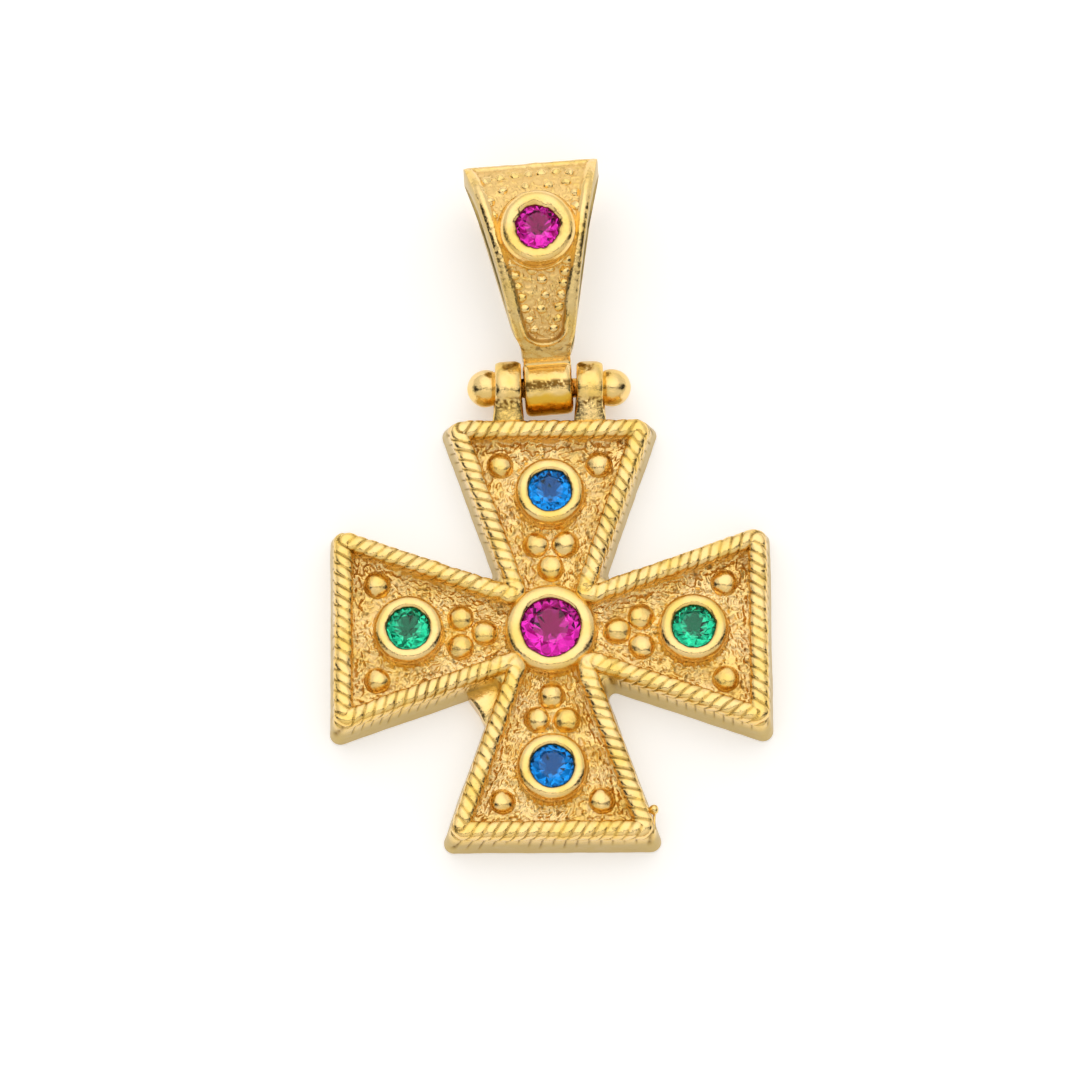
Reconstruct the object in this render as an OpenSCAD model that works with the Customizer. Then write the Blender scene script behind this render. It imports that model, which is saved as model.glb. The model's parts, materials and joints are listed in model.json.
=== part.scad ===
// Flared-arm cross pendant with a hinged, tapered bail.
// It lies on its back: the back of the cross is z = 0, the bail points along +Y.

/* [Cross] */
// Reach of an arm, from the centre to the outer edge of its rope border
arm_reach = 9.88; // [9.78:0.05:9.93]
// Half-width of an arm at its flared end
end_half_w = 4.9; // [4.8:0.05:5.0]
// Distance along X and Y at which two neighbouring arms meet
notch_at = 2.17; // [2.12:0.01:2.22]
// How far the side walls lean out from the front to the back
draft = 0.21; // [0.16:0.01:0.26]
// Radius of the corners of the arms, seen from the front
corner_r = 0.42; // [0.37:0.01:0.5]
// Height of the side walls, where the rope border starts
rim_z = 1.7; // [1.65:0.05:1.75]
// Height of the sunk ground inside the rope border
ground_z = 1.1; // [1.0:0.05:1.15]

/* [Rope border] */
// Radius of the twisted rope
rope_r = 0.44; // [0.42:0.01:0.45]
// Height of the rope's centre line
rope_z = 1.8; // [1.77:0.01:1.83]
// Depth of the grooves between the strands
groove = 0.08; // [0.04:0.01:0.1]
// Number of strands that show along one side of an arm
strands = 18; // [16:1:19]

/* [Granules] */
// Radius of a large granule
granule_r = 0.6; // [0.55:0.01:0.62]
// Radius of a small granule on the bail
seed_r = 0.19; // [0.15:0.01:0.22]

/* [Stones and settings] */
// Girdle radius of the stone in the middle
centre_stone_r = 1.5; // [1.4:0.05:1.6]
// Girdle radius of the stones on the arms and on the bail
arm_stone_r = 1.125; // [1.0:0.025:1.2]
// Distance of an arm's stone from the middle
arm_stone_at = 6.49; // [6.44:0.01:6.54]
// Height of the settings' rims above the back
setting_z = 2.08; // [2.05:0.01:2.2]
// Gap all round a stone in its seat
seat_gap = 0.03; // [0.02:0.01:0.04]

/* [Hinge] */
// Distance of the hinge axis from the centre of the cross
hinge_y = 11.62; // [11.57:0.01:11.67]
// Height of the hinge axis above the back
hinge_z = 1.25; // [1.25:0.05:1.35]
// Radius of the hinge pin
pin_r = 0.45; // [0.4:0.01:0.5]
// Radius of the ball at each end of the pin
ball_r = 0.87; // [0.82:0.01:0.9]
// Radial gap between the pin and the bail's knuckle
knuckle_gap = 0.1; // [0.09:0.005:0.1]

/* [Bail] */
// Length of the bail from the hinge axis to its top
bail_len = 10.22; // [10.02:0.05:10.42]
// Depth of the bail's loop from front to back
bail_depth = 5.3; // [5.0:0.1:5.5]
// Half-width of the bail at its top
bail_top_half_w = 3.16; // [3.06:0.05:3.26]
// Thickness of the bail's strip
bail_wall = 0.8; // [0.75:0.05:0.9]
// Depth of the bail's sunk field
field_depth = 0.2; // [0.15:0.05:0.25]
// How far the bail leans to the left in the play of its hinge, in degrees
bail_lean = 4.2; // [0:0.2:4.4]

/* [Hidden] */
gold = [0.93, 0.72, 0.33];
pink = [0.82, 0.05, 0.55];
blue = [0.02, 0.35, 0.75];
green = [0.02, 0.55, 0.33];
eps = 0.01;

// Outline of the cross
arms = 4;
corner_loss = 0.3;
side_slope = (end_half_w - notch_at) / (arm_reach - notch_at);
side_stretch = sqrt(1 + side_slope * side_slope);
corner_steps = 4;
notch_r = 0.2;
pocket_wall_top = 0.7;
pocket_wall_foot = 0.86;

// Rope border
rope_from = -25;
rope_to = 205;
rope_sides = 5;
rope_strands_round = 3;

// Granules of an arm that points along +Y: [across, along]
arm_granules = [[-2.26, 7.93], [2.26, 7.93], [-0.69, 4.13], [0.69, 4.13], [0, 3.02]];
granule_lift = 0.15;

// Settings
setting_sink = 0.3;
setting_foot = 0.06;
setting_foot_z = 0.2;
setting_wall = 0.375;
centre_setting_wall = 0.42;
bail_setting_wall = 0.54;
lip = 0.1;
lip_rise = 0.08;
lip_round = 0.14;

// Cut of the stones, as shares of the girdle radius
table_share = 0.56;
crown_share = 0.3;
star_share = 0.78;
girdle_share = 0.05;
pavilion_share = 0.8;
lower_share = 0.28;
mains = 8;
girdle_below_rim = 0.3;

// Hinge
ear_in = 1.31;
ear_out = 2.48;
ear_r = 1.22;
ear_gap = 0.02;
ear_sink = 0.2;
ear_low_z = 0.2;
ear_high_z = 1.8;
ear_neck = [-0.75, 0.85];
ball_out = 0.42;
knuckle_r = 1.25;
knuckle_half_w = 1.1;

// Bail, in its own frame: y runs from the hinge axis to the top
bend_r = bail_depth / 2;
bend_y = bail_len - bend_r;
front_r = 9.0;
front_end_y = 1.1;
front_end = acos((front_end_y - bend_y) / front_r);
neck_y = 2.0;
neck_half_w = 1.4;
bail_slope = (bail_top_half_w - neck_half_w) / (bail_len - neck_y);
strip_foot_y = 1.3;
strip_shoulder = 0.7;
rim_w = 0.46;
field_foot_y = 1.6;
field_foot_half_w = 0.4;
field_top_bend = 30;
neck_low_y = 0.6;
neck_crease = [0.95, 2.15];
neck_back_z = 0.02;
neck_front = [1.5, 2.4];
eye_y = 1.75;
eye_round = 0.8;
eye_mid_z = 1.5;
eye_bevel = 0.45;
eye_bevel_y = 0.1;
bail_setting_y = 6.32;
bail_setting_up = 0.85;
arc_step = 6;

// Small granules on the bail: [across, arc length from the top of the bend's front edge, upwards]
seed_rows = [
    [-2.15, 1.6], [-1.48, 1.75], [-0.83, 1.85], [-0.2, 1.9], [0.42, 1.95], [1.08, 1.95], [1.7, 1.8],
    [-1.45, 0.85], [-0.4, 1.05], [0.7, 1.0], [1.5, 1.1],
    [-2.05, 0.25], [-1.95, -0.4], [1.85, 0.45], [1.85, -0.25],
    [-1.15, -2.95], [-1.05, -3.55], [-0.92, -4.2], [-0.75, -4.9], [-0.64, -5.5], [-0.45, -6.1],
    [1.15, -2.9], [1.02, -3.5], [0.9, -4.15], [0.75, -4.8], [0.6, -5.45], [0.4, -6.05],
    [-0.38, -3.2], [0.45, -3.2], [0.03, -3.7], [-0.3, -4.45], [0.3, -4.45], [-0.02, -5.2], [0.02, -5.8]
];

// Casting flaws: a web left in the lower left notch, and a burr on the lower right edge
web = [[-1.9, -1.9], [-3.9, -2.75], [-3.62, -3.2], [-3.3, -3.65], [-3.1, -4.1], [-2.75, -4.6]];
web_z = 0.42;
burr_at = [4.68, -8.47, 1.6];
burr_r = 0.19;
burr_stem_r = 0.1;
burr_stem = 0.6;

function unit(v) = v / norm(v);
function shortest(a) = a > 180 ? a - 360 : a < -180 ? a + 360 : a;

// The arc that rounds the corner b between its neighbours a and c
function round_corner(a, b, c, r) =
    let (
        u = unit(a - b),
        v = unit(c - b),
        half = acos(u * v) / 2,
        centre = b + unit(u + v) * r / sin(half),
        from = b + u * r / tan(half) - centre,
        to = b + v * r / tan(half) - centre,
        start = atan2(from[1], from[0]),
        sweep = shortest(atan2(to[1], to[0]) - start)
    )
    [for (i = [0 : corner_steps])
        centre + r * [cos(start + sweep * i / corner_steps), sin(start + sweep * i / corner_steps)]];

// Radius of an arm's corners on the outline moved outwards by d
function corner(d) = corner_r + max(min(d, 0), -corner_loss);

function turned(p, quarter) =
    quarter == 0 ? p : turned([-p[1], p[0]], quarter - 1);

// The outline of the cross, moved outwards by d
function outline(d) =
    let (
        reach = arm_reach + d,
        half = end_half_w + (side_slope + side_stretch) * d,
        notch = notch_at + side_stretch * d / (1 - side_slope),
        right = [half, reach],
        left = [-half, reach]
    )
    [for (k = [0 : arms - 1])
        for (p = concat(
            round_corner([reach, half], [notch, notch], right, notch_r),
            round_corner([notch, notch], right, left, corner(d)),
            round_corner(right, left, [-notch, notch], corner(d))
        )) turned(p, k)];

// A solid between two outlines of the cross, which both see the centre from every point
module cross_loft(d0, z0, d1, z1) {
    low = outline(d0);
    high = outline(d1);
    n = len(low);
    points = concat(
        [for (p = low) [p[0], p[1], z0]],
        [for (p = high) [p[0], p[1], z1]],
        [[0, 0, z0], [0, 0, z1]]
    );
    faces = [for (i = [0 : n - 1])
        let (next = (i + 1) % n)
        for (f = [
            [n + i, n + next, next], [n + i, next, i],
            [2 * n, i, next], [2 * n + 1, n + next, n + i]
        ]) f];
    polyhedron(points, faces);
}

// A twisted rope from one point to another, with its lower side flat
module rope(from, to) {
    run = to - from;
    length = norm(run);
    rings = 2 * strands;
    step = length / rings;
    pitch = 2 * step * rope_strands_round;
    m = rope_sides + 1;
    points = [for (j = [0 : rings], i = [0 : rope_sides])
        let (
            a = rope_from + (rope_to - rope_from) * i / rope_sides,
            r = rope_r - (j % 2 == 0 ? groove : 0)
        )
        [j * step - pitch * (a - 90) / 360, r * cos(a), r * sin(a)]];
    sides = [for (j = [0 : rings - 1], i = [0 : rope_sides])
        let (next = (i + 1) % m, a = j * m + i, b = a + m, c = (j + 1) * m + next, d = j * m + next)
        for (f = [[a, b, c], [a, c, d]]) f];
    ends = [[for (i = [0 : rope_sides]) i], [for (i = [rope_sides : -1 : 0]) rings * m + i]];
    translate([from[0], from[1], rope_z])
        rotate([0, 0, atan2(run[1], run[0])])
            polyhedron(points, concat(sides, ends));
}

// The three ropes of the arm that points along +Y
module arm_ropes() {
    reach = arm_reach - rope_r;
    half = end_half_w - (side_slope + side_stretch) * rope_r;
    notch = notch_at - side_stretch * rope_r / (1 - side_slope);
    rope([-half, reach], [half, reach]);
    rope([-notch, notch], [-half, reach]);
    rope([notch, notch], [half, reach]);
    for (side = [-1, 1]) translate([side * half, reach, rope_z]) sphere(rope_r + eps, $fn = 32);
}

// The outside of a round setting, standing on z = 0 with its rim at height h
module setting_wall(r, h) {
    rotate_extrude($fn = 64)
        polygon([
            [0, -setting_sink], [r + setting_foot, -setting_sink], [r + setting_foot, setting_foot],
            [r, setting_foot_z], [r, h - lip_round], [r - 0.3 * lip_round, h - 0.3 * lip_round],
            [r - lip_round, h], [0, h]
        ]);
}

// The seat that is cut for a stone of girdle radius r, with the setting's rim at z = 0
module seat(r) {
    girdle = -girdle_below_rim;
    opening = r - lip;
    rotate_extrude($fn = 64)
        polygon([
            [0, girdle - pavilion_share * r - 2 * seat_gap],
            [r + seat_gap, girdle - seat_gap],
            [r + seat_gap, girdle + girdle_share * r + seat_gap],
            [opening, girdle + girdle_share * r + lip_rise + seat_gap],
            [opening, 1], [0, 1]
        ]);
}

// A round brilliant of girdle radius r, with its girdle's foot at z = 0
module brilliant(r) {
    half = 180 / mains;
    crown = crown_share * r;
    girdle = girdle_share * r;
    star_z = girdle + crown * (1 - star_share * cos(half)) / (1 - table_share);
    lower_z = -pavilion_share * r * (1 - lower_share * cos(half));
    function ring(n, radius, z, shift) =
        [for (i = [0 : n - 1]) [radius * cos(360 * i / n + shift), radius * sin(360 * i / n + shift), z]];
    points = concat(
        ring(mains, table_share * r, girdle + crown, 0),
        ring(mains, star_share * r, star_z, half),
        ring(2 * mains, r, girdle, 0),
        ring(2 * mains, r, 0, 0),
        ring(mains, lower_share * r, lower_z, half),
        [[0, 0, -pavilion_share * r]]
    );
    star = mains;
    top = 2 * mains;
    foot = 4 * mains;
    lower = 6 * mains;
    culet = 7 * mains;
    faces = concat(
        [[for (k = [mains - 1 : -1 : 0]) k]],
        [for (k = [0 : mains - 1])
            let (
                next = (k + 1) % mains,
                back = (k + mains - 1) % mains,
                a = 2 * k,
                b = 2 * k + 1,
                c = (2 * k + 2) % (2 * mains)
            )
            for (f = [
                [k, next, star + k],
                [k, star + k, top + a, star + back],
                [star + k, top + b, top + a], [star + k, top + c, top + b],
                [top + a, top + b, foot + b, foot + a], [top + b, top + c, foot + c, foot + b],
                [culet, lower + back, foot + a, lower + k],
                [lower + k, foot + a, foot + b], [lower + k, foot + b, foot + c]
            ]) f]
    );
    polyhedron(points, faces);
}

// Puts its children on the arm k, or in the middle for k = -1, at the height of the settings' rims
module on_arm(k) {
    rotate([0, 0, 90 * max(k, 0)])
        translate([0, k < 0 ? 0 : arm_stone_at, setting_z])
            children();
}

// One of the two ears that hold the pin, on the side +1 or -1
module ear(side) {
    translate([side > 0 ? ear_in : -ear_out, 0, 0])
        rotate([90, 0, 90]) {
            translate([hinge_y, hinge_z, 0]) cylinder(r = ear_r, h = ear_out - ear_in, $fn = 64);
            linear_extrude(ear_out - ear_in)
                polygon([
                    [arm_reach - ear_sink, ear_low_z], [hinge_y, hinge_z - ear_r + eps],
                    [hinge_y, hinge_z + ear_r - eps], [hinge_y + ear_neck[0], hinge_z + ear_neck[1]],
                    [arm_reach, ear_high_z], [arm_reach - ear_sink, ear_high_z]
                ]);
        }
}

module flaws() {
    linear_extrude(web_z) polygon(web);
    translate(burr_at) {
        sphere(burr_r, $fn = 12);
        rotate([0, -90, 0]) cylinder(r = burr_stem_r, h = burr_stem, $fn = 8);
    }
}

// The cast cross with its ropes, granules, settings and ears, all one piece of metal
module cross_body() {
    color(gold) difference() {
        union() {
            difference() {
                cross_loft(draft, 0, 0, rim_z);
                cross_loft(-pocket_wall_foot, ground_z, -pocket_wall_top, rim_z + eps);
            }
            for (k = [0 : arms - 1])
                rotate([0, 0, 90 * k]) {
                    arm_ropes();
                    for (p = arm_granules)
                        translate([p[0], p[1], ground_z + granule_lift]) sphere(granule_r, $fn = 48);
                    translate([0, arm_stone_at, ground_z])
                        setting_wall(arm_stone_r + setting_wall, setting_z - ground_z);
                }
            translate([0, 0, ground_z])
                setting_wall(centre_stone_r + centre_setting_wall, setting_z - ground_z);
            for (side = [-1, 1]) ear(side);
            flaws();
        }
        on_arm(-1) seat(centre_stone_r);
        for (k = [0 : arms - 1]) on_arm(k) seat(arm_stone_r);
        translate([-ear_out - 1, hinge_y, hinge_z])
            rotate([0, 90, 0]) cylinder(r = pin_r + ear_gap, h = 2 * ear_out + 2, $fn = 64);
    }
}

// The pin with a ball at each end
module hinge_pin() {
    reach = 4 * ball_r;
    color(gold) translate([0, hinge_y, hinge_z]) rotate([0, 90, 0]) {
        cylinder(r = pin_r, h = 2 * (ear_out + ball_out), center = true, $fn = 64);
        for (side = [-1, 1])
            intersection() {
                translate([0, 0, side * (ear_out + ball_out)]) sphere(ball_r, $fn = 64);
                translate([-reach / 2, -reach / 2, side > 0 ? ear_out + ear_gap : -ear_out - ear_gap - reach])
                    cube(reach);
            }
    }
}

// Points of the bail's side view on its outer surface, moved inwards by d
function bend_point(a, d) = [bend_y + (bend_r - d) * cos(a), bend_r + (bend_r - d) * sin(a)];
function front_point(a, d) =
    [bend_y + (front_r - d) * cos(a), bail_depth - front_r + (front_r - d) * sin(a)];
// The same for an arc length s from the front edge of the bend, with the slope of the surface
function surface_angle(s) = 90 - s / (s > 0 ? bend_r : front_r) * 180 / PI;
function surface_point(s, d) =
    s > 0 ? bend_point(surface_angle(s), d) : front_point(surface_angle(s), d);

module side_view(points) {
    half = 2 * bail_top_half_w;
    translate([-half, 0, 0]) rotate([90, 0, 90]) linear_extrude(2 * half) polygon(points);
}

// The loop's side view without its eye
module loop_outside() {
    side_view(concat(
        [[neck_low_y, 0]],
        [for (a = [-90 : arc_step : 90]) bend_point(a, 0)],
        [for (a = [90 + arc_step : arc_step : front_end]) front_point(a, 0)],
        [front_point(front_end, 0), neck_crease, [neck_low_y, neck_crease[1]]]
    ));
}

// The eye that the chain passes through
module eye() {
    first = acos((eye_y + eye_round - bend_y) / (front_r - bail_wall));
    side_view(concat(
        [for (a = [-90 : arc_step : 90]) bend_point(a, bail_wall)],
        [for (a = [90 + arc_step : arc_step : first]) front_point(a, bail_wall)],
        [front_point(first, bail_wall), [eye_y + eye_bevel_y, eye_mid_z + eye_bevel], [eye_y, eye_mid_z],
         [eye_y + eye_bevel_y, eye_mid_z - eye_bevel], [eye_y + eye_bevel, bail_wall]]
    ));
}

// The strip's front view, narrowed by d on each side, from y0 up
module front_view(d, y0, foot_half_w) {
    top = bail_len + 1;
    function half_w(y) = neck_half_w + bail_slope * (y - neck_y) - d;
    shoulder = y0 + strip_shoulder;
    right = [[foot_half_w, y0], [half_w(shoulder), shoulder], [half_w(top), top]];
    translate([0, 0, -1]) linear_extrude(bail_depth + 3)
        polygon(concat(right, [for (i = [2 : -1 : 0]) [-right[i][0], right[i][1]]]));
}

// The sunk field of the strip's front, from its foot over the bend
module field() {
    intersection() {
        side_view(concat(
            [for (a = [field_top_bend : arc_step : 90]) bend_point(a, field_depth)],
            [for (a = [90 + arc_step : arc_step : front_end]) front_point(a, field_depth)],
            [for (a = [front_end : -arc_step : 90 + arc_step]) front_point(a, -1)],
            [for (a = [90 : -arc_step : field_top_bend]) bend_point(a, -1)]
        ));
        front_view(rim_w, field_foot_y, field_foot_half_w);
    }
}

module bail_knuckle() {
    translate([-knuckle_half_w, 0, hinge_z])
        rotate([0, 90, 0]) cylinder(r = knuckle_r, h = 2 * knuckle_half_w, $fn = 64);
}

// Puts its children on the bail's front, on the axis of its setting, at the height up above the surface
module on_bail(up) {
    s = front_r * asin((bail_setting_y - bend_y) / front_r) * PI / 180;
    a = surface_angle(s);
    p = surface_point(s, -up);
    translate([0, p[0], p[1]]) rotate([a - 90, 0, 0]) children();
}

module in_bail_frame() {
    translate([0, hinge_y, 0]) rotate([0, 0, bail_lean]) children();
}

// The cast bail: a knuckle, a looped strip with a sunk granulated field, and a setting
module bail() {
    color(gold) in_bail_frame() difference() {
        union() {
            bail_knuckle();
            difference() {
                intersection() {
                    loop_outside();
                    front_view(0, strip_foot_y, knuckle_half_w);
                }
                eye();
                field();
            }
            neck();
            for (p = seed_rows) {
                at = surface_point(p[1], field_depth - 0.05);
                translate([p[0], at[0], at[1]]) sphere(seed_r, $fn = 24);
            }
            on_bail(-field_depth)
                setting_wall(arm_stone_r + bail_setting_wall, bail_setting_up + field_depth);
        }
        on_bail(bail_setting_up) seat(arm_stone_r);
        translate([-ear_out, 0, hinge_z])
            rotate([0, 90, 0]) cylinder(r = pin_r + knuckle_gap, h = 2 * ear_out, $fn = 64);
    }
}

// The solid neck between the knuckle and the loop
module neck() {
    translate([-knuckle_half_w, 0, 0]) rotate([90, 0, 90]) linear_extrude(2 * knuckle_half_w)
        polygon([
            [neck_low_y, neck_back_z], [neck_front[0], neck_back_z], neck_front,
            neck_crease, [neck_low_y, neck_crease[1]]
        ]);
}

module arm_stone(k, tint) {
    color(tint) on_arm(k)
        translate([0, 0, -girdle_below_rim]) brilliant(k < 0 ? centre_stone_r : arm_stone_r);
}
module centre_stone() { arm_stone(-1, pink); }
module top_stone() { arm_stone(0, blue); }
module left_stone() { arm_stone(1, green); }
module bottom_stone() { arm_stone(2, blue); }
module right_stone() { arm_stone(3, green); }
module bail_stone() {
    color(pink) in_bail_frame() on_bail(bail_setting_up - girdle_below_rim) brilliant(arm_stone_r);
}

cross_body();
hinge_pin();
bail();
centre_stone();
top_stone();
bottom_stone();
left_stone();
right_stone();
bail_stone();
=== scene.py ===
"""Looks of the flared cross pendant: polished cast gold, round faceted stones and a hinged bail.

The shaping functions work in millimetres, and new_mesh() turns them into metres. A part is a pair of
points and faces. Its shares tell how matt each of its points is, how much painted shade (with more
roughness) it takes, how dark it is from painted shade in grooves, holes and seams and from dirt, and
how deep its colour is from a warm tone and from painted reflection of nearby gold.
"""

import json
from math import acos, asin, atan2, copysign, cos, hypot, pi, radians, sin, tan

import bpy
import numpy as np
from mathutils import Matrix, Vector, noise


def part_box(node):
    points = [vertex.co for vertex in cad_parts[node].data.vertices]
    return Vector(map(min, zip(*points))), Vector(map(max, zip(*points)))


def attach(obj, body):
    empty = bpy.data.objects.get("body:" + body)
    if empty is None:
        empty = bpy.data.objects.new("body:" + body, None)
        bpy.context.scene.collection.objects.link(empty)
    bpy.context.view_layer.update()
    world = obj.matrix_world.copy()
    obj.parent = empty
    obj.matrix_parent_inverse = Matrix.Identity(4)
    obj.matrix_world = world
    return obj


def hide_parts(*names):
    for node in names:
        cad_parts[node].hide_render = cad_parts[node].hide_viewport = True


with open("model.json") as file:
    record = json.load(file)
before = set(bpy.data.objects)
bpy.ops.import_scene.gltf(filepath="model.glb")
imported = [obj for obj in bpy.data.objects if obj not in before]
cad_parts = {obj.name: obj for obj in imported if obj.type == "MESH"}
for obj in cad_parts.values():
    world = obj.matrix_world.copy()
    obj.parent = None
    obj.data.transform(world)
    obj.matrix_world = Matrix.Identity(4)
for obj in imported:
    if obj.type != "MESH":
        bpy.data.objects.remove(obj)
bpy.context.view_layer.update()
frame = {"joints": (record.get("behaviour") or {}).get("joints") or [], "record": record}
MM = 0.001

# Places that the frame gives
HINGE_Y, HINGE_Z = (v / MM for v in frame["joints"][0]["pos_m"][1:])
EYE_AXIS = next(m["axis"] for m in frame["record"]["mounts"] if m["name"] == "bail_eye")
BAIL_LEAN = atan2(EYE_AXIS[1], EYE_AXIS[0])

# Cross, seen from the front
ARMS = 4
REACH = 9.88
END_HALF_W = 4.84
NOTCH_AT = 2.11
CORNER_R = 0.47
CORNER_LOSS = 0.3
NOTCH_R = 0.3
CORNER_STEPS = 8
FLANK_STEPS = 160
END_STEPS = 185
SIDE_SLOPE = (END_HALF_W - NOTCH_AT) / (REACH - NOTCH_AT)
SIDE_STRETCH = hypot(1, SIDE_SLOPE)

# Side walls
DRAFT = 0.21
WALL_FOOT_Z = 0.14
WALL_H = 1.52
WALL_ROWS = 20
WALL_GROOVE = 0.11
GROOVE_SLANT = 0.25
# Painted shade in the wall grooves, as a share of their depth
GROOVE_SHADE = 0.9

# Sunk ground, and the cast wrinkles that it shares with the bail's field
GROUND_Z = 1.1
HOLLOW_Z = 0.4
GROUND_ROWS = 158
GROUND_COLUMNS = 138
GROUND_FROM = 1.25
GROUND_EDGE = 0.62
GROUND_RELIEF = 0.12
GROUND_SAND = 0.03
HOLE_DEPTH = 0.07
POCKET_RISE = 0.32
POCKET_RIM_W = 0.28
WRINKLE_SIZE = 0.34

# Rope border
ROPE_R = 0.44
ROPE_Z = 1.8
ROPE_PITCH = 0.5
ROPE_STRANDS = 3
ROPE_GROOVE = 0.13
ROPE_SQUARENESS = 2.8
ROPE_UNEVENNESS = 0.14
RINGS_A_STRAND = 12
ROPE_SIDES = 36

# Granules on the arm that points along +Y: across, along
ARM_GRANULES = np.array([(-2.26, 7.93), (2.26, 7.93), (-0.69, 4.13), (0.69, 4.13), (0, 3.02)])
GRANULE_R = 0.64
GRANULE_LIFT = 0.04
GRANULE_FLATNESS = (1, 1, 0.7)

# Settings: the outer radius of the foot, and the height of the rim above the ground
ARM_SETTING_R = 1.54
CENTRE_SETTING_R = 2.03
SETTING_H = 1.06
SETTING_SINK = 0.66
LIP_OVER = 0.16
GIRDLE_BELOW_RIM = 0.38
RIM_FULLNESS = 0.9

# Cut of the stones, as shares of their radius
MAINS = 8
TABLE_SHARE = 0.56
CROWN_SHARE = 0.3
STAR_SHARE = 0.78
GIRDLE_SHARE = 0.05
PAVILION_SHARE = 0.8
MIDDLE_SHARE = 0.64
MIDDLE_Z = -0.303
LOWER_SHARE = 0.28
LOWER_Z = -0.586

# Glitter of the stones: the facets' lean, and the shadow of the camera's slit on them
FACET_LEAN = 0.12
SHADOW_UP = 0.24
SHADOW_R = 0.42
SHADOW_SPARK = 0.03
TABLE_SHINE = 0.7

# Ears and pin
EAR_IN = 1.28
EAR_OUT = 2.48
EAR_R = 1.25
EAR_TURN = radians(125)
EAR_FOOT_Z = 1.86
EAR_SINK = 0.4
EAR_BEVEL = (0.42, 0.2)
PIN_R = 0.45
BALL_R = 0.87
BALL_AT = 2.9
BALL_TURN = radians(112)

# Knuckle of the bail
BORE_R = 0.55
KNUCKLE_R = 1.25
KNUCKLE_HALF_W = 1.1
KNUCKLE_SHIFT = -0.05

# Bail, in its own frame: y from the hinge axis to the top, z up from its back
BAIL_LEN = 10.35
BAIL_DEPTH = 5.3
BAIL_WALL = 0.8
BEND_R = BAIL_DEPTH / 2
BEND_Y = BAIL_LEN - BEND_R
FRONT_R = 9.0
FRONT_END_Y = 1.1
BACK_END_Y = 1.2
NECK_Y = 2.0
NECK_HALF_W = 1.4
BAIL_TOP_HALF_W = 3.16
BAIL_SLOPE = (BAIL_TOP_HALF_W - NECK_HALF_W) / (BAIL_LEN - NECK_Y)
STRIP_SHIFT = -0.05
LEFT_TAPER = 0.14
RIGHT_TAPER = 0.06
BACK_HIGHER = 1.2
BACK_HIGHER_RIGHT = 0.35
INNER_POINTS = 17
SIDE_POINTS = 4

# Rims and sunk field of the bail
RIM_W = 0.5
RIM_CROWN = 0.12
RIM_CROWN_W = 0.24
RIM_STEPS = np.array([
    0.0, 0.012, 0.035, 0.07, 0.12, 0.18, 0.25, 0.31, 0.36, 0.4, 0.43, 0.46, 0.5, 0.56, 0.63,
])
FIELD_DEPTH = 0.2
FIELD_RELIEF = 0.075
FIELD_TOP = radians(30)
FIELD_TOP_ARC = (pi / 2 - FIELD_TOP) * BEND_R
FIELD_FOOT_ARC = -6.55
FIELD_FOOT_R = 0.55
LIP_H = 0.16
BAIL_SETTING_Y = 6.4
BAIL_SETTING_R = 1.665
BAIL_SETTING_UP = 0.85
BAIL_SETTING_ARC = FRONT_R * asin((BAIL_SETTING_Y - BEND_Y) / FRONT_R)
SEED_R = 0.26

# Small granules of the bail: across, arc length from the top of the bend's front edge, upwards
SEEDS = [
    (-2.15, 1.6), (-1.48, 1.75), (-0.83, 1.85), (-0.2, 1.9), (0.42, 1.95), (1.08, 1.95), (1.7, 1.8),
    (-1.45, 0.85), (-0.4, 1.05), (0.7, 1.0), (1.5, 1.1),
    (-2.05, 0.25), (-1.95, -0.4), (1.85, 0.45), (1.85, -0.25),
    (-1.3, -2.75), (-1.2, -3.3), (-1.08, -3.85), (-0.98, -4.4), (-0.84, -4.95), (-0.7, -5.5), (-0.5, -6.0),
    (1.22, -2.75), (1.12, -3.3), (1.0, -3.85), (0.88, -4.4), (0.74, -4.95), (0.6, -5.5), (0.4, -6.0),
    (-0.38, -3.1), (0.42, -3.1), (0.03, -3.6), (0.12, -4.35), (-0.1, -5.0),
]

# Casting flaws
WEB = np.array([(-1.9, -1.9), (-3.9, -2.75), (-3.62, -3.2), (-3.3, -3.65), (-3.1, -4.1), (-2.75, -4.6)])
WEB_Z = 1.05
BURR_AT = (4.57, -8.47, 1.62)
BURR_R = 0.24

# Photograph: its size and scale in pixels, then the camera's tilt from straight above, roll and distance
PHOTO_PX = 1080
PX_PER_MM = 22
CROSS_AT_PX = (551, 626.9)
CROSS_TOP_Z = 2.08
TILT = radians(16)
ROLL = radians(0.45)
CAMERA_AWAY = 300
SENSOR = 36

FLOOR_HALF = 2.0


# Meshes

def points_of(*coordinates):
    """Points from their coordinates, each an array or one number for all."""
    return np.stack(np.broadcast_arrays(*coordinates), 1)


def grid_faces(rows, columns, close_rows=False, close_columns=False):
    """Quads of a grid of points, row after row."""
    r = np.arange(rows if close_rows else rows - 1)
    c = np.arange(columns if close_columns else columns - 1)
    r, c = (a.ravel() for a in np.meshgrid(r, c, indexing="ij"))
    r2, c2 = (r + 1) % rows, (c + 1) % columns
    return points_of(r * columns + c, r * columns + c2, r2 * columns + c2, r2 * columns + c).tolist()


def fan_faces(ring, tip, flip=False):
    """Triangles from a ring of point numbers to a tip."""
    ring = list(ring)
    pairs = zip(ring, ring[1:] + ring[:1])
    return [(b, a, tip) if flip else (a, b, tip) for a, b in pairs]


def joined(*parts):
    """One part out of several."""
    points, faces, start = [], [], 0
    for p, f in parts:
        points.append(np.asarray(p, float))
        faces += [tuple(int(i) + start for i in face) for face in f]
        start += len(p)
    return np.concatenate(points), faces


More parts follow.
